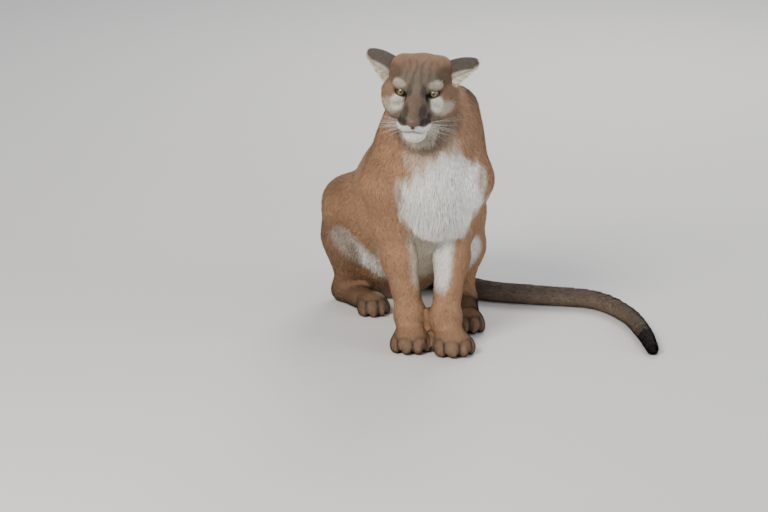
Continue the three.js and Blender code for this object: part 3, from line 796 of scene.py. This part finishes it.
fur_material, _, _ = painted_material("fur", 0.72, 0.18)
skin_material, skin_tree, skin_shader = painted_material("skin", 0.75, 0.2)
bumpy(skin_tree, skin_shader, 420, 0.5, 0.002)
nose_material, nose_tree, nose_shader = painted_material("nose_leather", 0.38)
bumpy(nose_tree, nose_shader, 900, 0.35, 0.0006)
eye_material, _, eye_shader = painted_material("eye", 0.25)
eye_shader.inputs["Coat Weight"].default_value = 1.0
eye_shader.inputs["Coat Roughness"].default_value = 0.03
whisker_material, _, _ = painted_material("whisker", 0.4)

# The skin, in one piece
grid_points, grid_faces = body_grid()
skin_points, skin_triangles = divided(grid_points, grid_faces, (in_head_or_paws, in_face))
skin_points = settled(skin_points)
skin = made_mesh("skin", placed(skin_points), skin_triangles)
skin_uv = unwrapped(skin)
skin_out = point_normals(skin_points, skin_triangles)
# the skin's colours darkened as painted shade under the coat
paint(skin, coat_colour(skin_points, skin_out) * PAINTED_SKIN_SHADE)
skin.data.materials.append(skin_material)
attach(skin, "root")
FLESH_NODES = (
    "head", "neck", "chest", "loin", "haunch", "shoulder_left", "shoulder_right",
    "foreleg_left", "foreleg_right", "forepaw_left", "forepaw_right",
    "hindleg_left", "hindleg_right", "hindfoot_left", "hindfoot_right",
    "tail_base", "tail_middle", "tail_tip",
)
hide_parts(*FLESH_NODES)


def body_lie(root, out):
    """Length and direction of the tufts at places on the skin, and which places keep theirs."""
    length, _, flow, region = lie_of(root)
    q = in_head(root)
    near_eye = eye_nearness(q)
    length = length * (1 - 0.62 * near_eye)
    mirrored = q * (np.sign(q[:, :1]) * (1, 0, 0) + (0, 1, 1))
    cheek = blob(mirrored, (78, -46, -48), (22, 34, 34), 0.6)
    length = length * (1 + 1.1 * cheek)
    belly = smoothstep(-out[:, 2]) * smoothstep((root[:, 1] - 120) / 80) * (root[:, 2] > 90)
    length = length * (1 + 0.5 * belly * (region == REGIONS.index("trunk")))
    length = length * (1 + 0.6 * blob(root, (34, 10, 325), (80, 60, 40), 0.6))
    keep = (root[:, 2] > 1.5) | (out[:, 2] > -0.8)
    lid = np.zeros(len(root), bool)
    for s in (-1, 1):
        d = q - (s * EYE_SPREAD, EYE_FORWARD, EYE_UP)
        lid |= (np.linalg.norm(d, axis=-1) < EYE_RADIUS + 3.2) & (d[:, 1] > 2)
    nose = np.linalg.norm((q - (0, 90, -42)) / (19, 14, 11), axis=-1) < 1
    return length, flow, keep & ~lid & ~nose


def body_crowd(middle):
    """Tufts on each square millimetre at places on the skin."""
    _, _, _, region = lie_of(middle)
    return np.array([CROWD[name] for name in REGIONS])[region]


grow("body", skin_points, skin_triangles, skin_uv, coat_colour, body_lie, body_crowd)

# Ears: each a cupped leaf lying out sideways with its back up
EAR_LENGTH, EAR_HALF_WIDTH, EAR_THICKNESS = 99.0, 33.5, 4.0
EAR_SUNK = 16.0                 # of its length, inside the head
EAR_ROOT = np.array([56.0, -72, 44])


def ear_frame(s):
    """Directions along an ear, across it and out of its back."""
    out = unit((s * 0.93, -0.25, 0.28 if s < 0 else 0.16))
    tilt = np.array([0, 0.985, -0.17])
    wide = unit(tilt - out * (tilt @ out))
    back = np.cross(out, wide)
    return out, wide, back if back[2] > 0 else -back


def ear_mesh(s, along=44, across=30):
    out, wide, back = ear_frame(s)
    sheets = []
    for sheet in (0, 1):
        t = np.linspace(0, 1, along + 1)[:, None]
        a = np.linspace(-1, 1, across + 1)[None, :]
        rounded = np.sqrt(1 - np.clip((t - 0.35) / 0.65, 0, 1) ** 2.4)
        narrow = 0.74 + 0.26 * np.sin(np.clip(t / 0.35, 0, 1) * math.pi / 2)
        inset = sheet * 1.6
        half = np.maximum(EAR_HALF_WIDTH * rounded * narrow - inset, 0.8)
        cup = 22 * (1 - t) ** 0.8 + 3
        length = t * (EAR_LENGTH - inset) - EAR_SUNK + a * 0
        height = 6 * np.sin(math.pi * t) - cup * np.abs(a) ** 2.2 - 1.5 - sheet * EAR_THICKNESS
        flat = out * length[..., None] + wide * (half * a)[..., None]
        sheets.append(EAR_ROOT * (s, 1, 1) + flat + back * height[..., None])
    points = head_point(np.stack(sheets).reshape(-1, 3))
    rim = across + 1

    def at(sheet, i, j):
        return (sheet * (along + 1) + i) * rim + j

    faces = []
    for i in range(along):
        for j in range(across):
            faces.append((at(0, i, j), at(0, i + 1, j), at(0, i + 1, j + 1), at(0, i, j + 1)))
            faces.append((at(1, i, j), at(1, i, j + 1), at(1, i + 1, j + 1), at(1, i + 1, j)))
        faces.append((at(0, i, 0), at(1, i, 0), at(1, i + 1, 0), at(0, i + 1, 0)))
        faces.append((at(0, i, across), at(0, i + 1, across), at(1, i + 1, across), at(1, i, across)))
    for j in range(across):
        faces.append((at(0, along, j), at(1, along, j), at(1, along, j + 1), at(0, along, j + 1)))
        faces.append((at(0, 0, j), at(0, 0, j + 1), at(1, 0, j + 1), at(1, 0, j)))
    triangles = np.array([[f[i] for i in pick] for f in faces for pick in ((0, 1, 2), (0, 2, 3))])
    return points, facing_out(points, triangles)


for s, name in ((-1, "right"), (1, "left")):
    ear_points, ear_triangles = ear_mesh(s)
    ear_out, ear_wide, ear_back = (v @ HEAD for v in ear_frame(s))
    ear_root = head_point(EAR_ROOT * (s, 1, 1))

    def ear_colour(p, n):
        t = ((p - ear_root) @ ear_out + EAR_SUNK) / EAR_LENGTH
        across = (p - ear_root) @ ear_wide / EAR_HALF_WIDTH
        outer = smoothstep(n @ ear_back / 0.3 + 0.5)[:, None]
        rim = smoothstep((np.abs(across) - 0.74) / 0.2)[:, None]
        base = smoothstep((0.32 - t) / 0.2)[:, None]
        back = EAR_GREY * (1 - rim) + CREAM * 0.75 * rim
        back = back * (1 - base) + GREY_BROWN * base
        inside = CREAM * (0.55 + 0.45 * smoothstep(np.abs(across) / 0.6))[:, None]
        return back * outer + inside * (1 - outer)

    def ear_lie(root, out):
        inner = out @ ear_back < -0.2
        t = ((root - ear_root) @ ear_out + EAR_SUNK) / EAR_LENGTH
        front = (root - ear_root) @ ear_wide / EAR_HALF_WIDTH
        length = np.where(inner, 12 + 30 * np.clip(0.75 - t, 0, 1), 6.5)
        hanging = ear_out * 0.7 - HEAD[2] * 0.9 + ear_wide * 0.2
        lying = ear_out + ear_wide * front[:, None] * 0.3
        flow = np.where(inner[:, None], hanging, lying)
        return length, flow, t > 0.12

    ear = made_mesh(f"ear_skin_{name}", placed(ear_points), ear_triangles)
    ear_uv = unwrapped(ear)
    # the ear skin's colours darkened as painted shade under the coat
    paint(ear, ear_colour(ear_points, point_normals(ear_points, ear_triangles)) * PAINTED_SKIN_SHADE)
    ear.data.materials.append(skin_material)
    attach(ear, "root")
    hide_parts(f"ear_{name}")
    grow(f"ear_{name}", ear_points, ear_triangles, ear_uv, ear_colour, ear_lie,
         lambda middle: np.full(len(middle), 0.75), wide=0.13, tilt=(22, 8))

# Eyes
EYE_RINGS, EYE_STEPS = 90, 64
IRIS, PUPIL = 7.6, 3.5          # radii
WATCHED = np.array([-0.165, -0.937, 0.309])         # where the eyes partly look
AMBER, OLIVE = linear(158, 128, 66), linear(96, 92, 54)


def eye_mesh(s):
    """A ball that bulges at the front, ringed round the line of sight."""
    centre = np.array([s * EYE_SPREAD, EYE_FORWARD, EYE_UP])
    watched = unit(WATCHED @ HEAD.T)
    sight = unit(unit((s * 0.1, 1, -0.02)) * 0.62 + watched * 0.38)
    aside = unit(np.cross(sight, (0, 0, 1.0)))
    above = np.cross(aside, sight)
    polar = np.linspace(0, 1, EYE_RINGS) ** 1.25 * math.pi
    turn = np.arange(EYE_STEPS) / EYE_STEPS * 2 * math.pi
    flat = (EYE_RADIUS - 0.3) * np.sin(polar)[:, None]
    bulge = 0.9 * np.exp(-(flat[:, 0] / 8.0) ** 2) * (polar < 1.5)
    front = (EYE_RADIUS - 0.3) * np.cos(polar) + bulge
    ring = aside * (flat * np.cos(turn))[..., None] + above * (flat * np.sin(turn))[..., None]
    points = centre + ring + sight * front[:, None, None]
    away = np.repeat(np.where(polar < 1.5, flat[:, 0], 99), EYE_STEPS)
    ray = np.tile(0.5 + 0.5 * np.sin(turn * 23 + 2 * np.sin(turn * 7)), EYE_RINGS)
    iris = OLIVE * 0.9 + (AMBER - OLIVE * 0.9) * smoothstep((IRIS - 1.0 - away) / 3.0)[:, None]
    iris = iris * (0.75 + 0.4 * ray[:, None])
    colours = np.where((away < PUPIL)[:, None], linear(8, 7, 6), iris)
    colours = np.where((away > IRIS)[:, None], linear(40, 28, 20), colours)
    faces = []
    for i in range(EYE_RINGS - 1):
        for j in range(EYE_STEPS):
            k = (j + 1) % EYE_STEPS
            a, b = i * EYE_STEPS + j, i * EYE_STEPS + k
            faces += [(a, b + EYE_STEPS, b), (a, a + EYE_STEPS, b + EYE_STEPS)]
    points = head_point(points.reshape(-1, 3))
    return points, facing_out(points, np.array(faces)), colours


for s, name in ((-1, "right"), (1, "left")):
    eye_points, eye_faces, eye_colours = eye_mesh(s)
    eye = made_mesh(f"eyeball_{name}", placed(eye_points), eye_faces)
    paint(eye, eye_colours)
    unwrapped(eye)
    eye.data.materials.append(eye_material)
    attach(eye, "root")
    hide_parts(f"eye_{name}")


# Nose leather: broad above, narrow below, with a nostril each side
def nose_field(q):
    value = oval(q, (0, 89, -41), (15, 10.5, 9.5))
    value = soft_min(value, oval(q, (0, 90, -52), (5.0, 7, 8)), 5)
    for s in (-1, 1):
        value = soft_min(value, oval(q, (s * 12.5, 86, -43), (8.5, 9.5, 8)), 5)
    for s in (-1, 1):
        value = soft_max(value, -oval(q, (s * 8.4, 99, -45.5), (4.0, 7.5, 3.1)), 1.5)
        value = soft_max(value, -oval(q, (s * 14.5, 95, -46.5), (4.8, 7.0, 1.8)), 1.5)
    return value + 0.8 * np.exp(-(q[:, 0] / 0.9) ** 2) * (q[:, 2] < -42)


def nose_mesh(cell=0.8, low=(-25, 70, -66), high=(25, 104, -28)):
    axes = [np.arange(a, b, cell) for a, b in zip(low, high)]
    nodes = np.stack(np.meshgrid(*axes, indexing="ij"), -1).reshape(-1, 3)
    grid = openvdb.FloatGrid(10.0)
    grid.copyFromArray(nose_field(nodes).reshape([len(a) for a in axes]).astype(np.float32))
    points, _, faces = grid.convertToPolygons(0.0, 0.0)
    points = head_point(points * cell + np.array(low))
    return points, facing_out(points, np.vstack([faces[:, [0, 1, 2]], faces[:, [0, 2, 3]]]))


nose_points, nose_faces = nose_mesh()
nose_place = in_head(nose_points)
dark_edge = smoothstep((np.abs(nose_place[:, 0]) - 12) / 7) + smoothstep((-46 - nose_place[:, 2]) / 6)
nose_tint = linear(100, 70, 62) * (1 - 0.75 * np.clip(dark_edge, 0, 1)[:, None])
nose = made_mesh("nose_pad", placed(nose_points), nose_faces)
paint(nose, nose_tint)
unwrapped(nose)
nose.data.materials.append(nose_material)
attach(nose, "root")
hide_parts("nose")

# Whiskers on the upper lips, and a few over the eyes
whisker_points, whisker_faces = [], []


def whisker(root, direction, length, droop, width=0.32, steps=8):
    root, direction = np.array(root, float), unit(direction)
    aside = unit(np.cross(direction, (0, 0.3, 1.0)))
    above = np.cross(aside, direction)
    first = len(whisker_points)
    for i in range(steps + 1):
        t = i / steps
        centre = root + direction * length * t + np.array([0, -0.25, -1]) * droop * t * t
        for k in range(3):
            angle = k * 2 * math.pi / 3
            size = width * (1 - t) + 0.05
            whisker_points.append(centre + (aside * math.cos(angle) + above * math.sin(angle)) * size)
        for k in range(3 if i else 0):
            a = first + (i - 1) * 3 + k
            b = first + (i - 1) * 3 + (k + 1) % 3
            whisker_faces.extend([(a, b, b + 3), (a, b + 3, a + 3)])
    tip = first + steps * 3
    whisker_faces.extend([(first, first + 2, first + 1), (tip, tip + 1, tip + 2)])


for s in (-1, 1):
    for row in range(4):
        for column in range(5):
            root = (s * (26 + column * 3.2), 84 - column * 6.5, -52 - row * 4.2)
            direction = (s * (0.9 + 0.06 * column), 0.15 - 0.16 * column, 0.12 - 0.13 * row)
            whisker(root, direction + rng.normal(0, 0.05, 3), 42 + 9 * column + rng.uniform(0, 14),
                    rng.uniform(4, 12))
    for number in range(3):
        direction = (s * (0.3 + 0.2 * number), 0.5, 0.9)
        whisker((s * (36 + number * 5), 12, 26), direction, 30 + 6 * number, 3, 0.3)
whisker_points = head_point(np.array(whisker_points))
whisker_faces = facing_out(whisker_points, np.array(whisker_faces))
whiskers = made_mesh("whiskers", placed(whisker_points), whisker_faces)
paint(whiskers, np.tile(linear(225, 220, 210), (len(whisker_points), 1)))
unwrapped(whiskers)
whiskers.data.materials.append(whisker_material)
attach(whiskers, "root")

# Floor, light and camera
floor_material, _, floor_shader = new_material("floor", 0.85, 0.2)
floor_shader.inputs["Base Color"].default_value = (0.72, 0.71, 0.69, 1)
bpy.ops.mesh.primitive_plane_add(size=40, location=(0, 0, 0))
floor = bpy.context.object
floor.name = "floor"
floor.data.materials.append(floor_material)

world = bpy.data.worlds.new("studio")
world.use_nodes = True
world.node_tree.nodes["Background"].inputs["Color"].default_value = (0.86, 0.9, 1.0, 1)
world.node_tree.nodes["Background"].inputs["Strength"].default_value = 0.5
bpy.context.scene.world = world


def area_light(name, place, power, size, colour):
    light = bpy.data.lights.new(name, "AREA")
    light.energy = power
    light.size = size
    light.color = colour
    made = bpy.data.objects.new(name, light)
    made.location = place
    toward_animal = Vector((-0.1, 0, 0.35)) - Vector(place)
    made.rotation_euler = toward_animal.to_track_quat("-Z", "Y").to_euler()
    bpy.context.scene.collection.objects.link(made)


area_light("key", (-2.2, -2.4, 3.0), 150, 1.4, (1.0, 0.95, 0.87))
area_light("fill", (3.0, -2.0, 1.6), 45, 2.2, (0.9, 0.95, 1.0))
area_light("rim", (1.2, 3.0, 2.6), 90, 1.6, (1.0, 0.97, 0.92))

PIXEL = 2.5 * MM                # width of a photo pixel at the animal
PHOTO_WIDTH = 768
PHOTO_CENTRE = (384, 256)
PAW_PIXEL = (412, 356)          # where the floor by the forepaws is in the photo
CAMERA_AWAY = 11.0
azimuth, elevation = math.radians(-10), math.radians(18)
toward = Vector((math.sin(azimuth) * math.cos(elevation), -math.cos(azimuth) * math.cos(elevation),
                 math.sin(elevation)))
right = Vector((math.cos(azimuth), math.sin(azimuth), 0))
upward = toward.cross(right)
paw_tip = Vector(placed(np.array([-52.0, 0, 0])))
aim = paw_tip + right * (PHOTO_CENTRE[0] - PAW_PIXEL[0]) * PIXEL
aim = aim + upward * (PAW_PIXEL[1] - PHOTO_CENTRE[1]) * PIXEL
camera = bpy.data.cameras.new("camera")
camera.sensor_width = 36
camera.lens = camera.sensor_width * CAMERA_AWAY / (PHOTO_WIDTH * PIXEL)
camera.clip_end = 100
camera_object = bpy.data.objects.new("camera", camera)
camera_object.location = paw_tip + toward * CAMERA_AWAY
sight = aim - camera_object.location
camera_object.rotation_euler = sight.to_track_quat("-Z", "Y").to_euler()
bpy.context.scene.collection.objects.link(camera_object)
bpy.context.scene.camera = camera_object
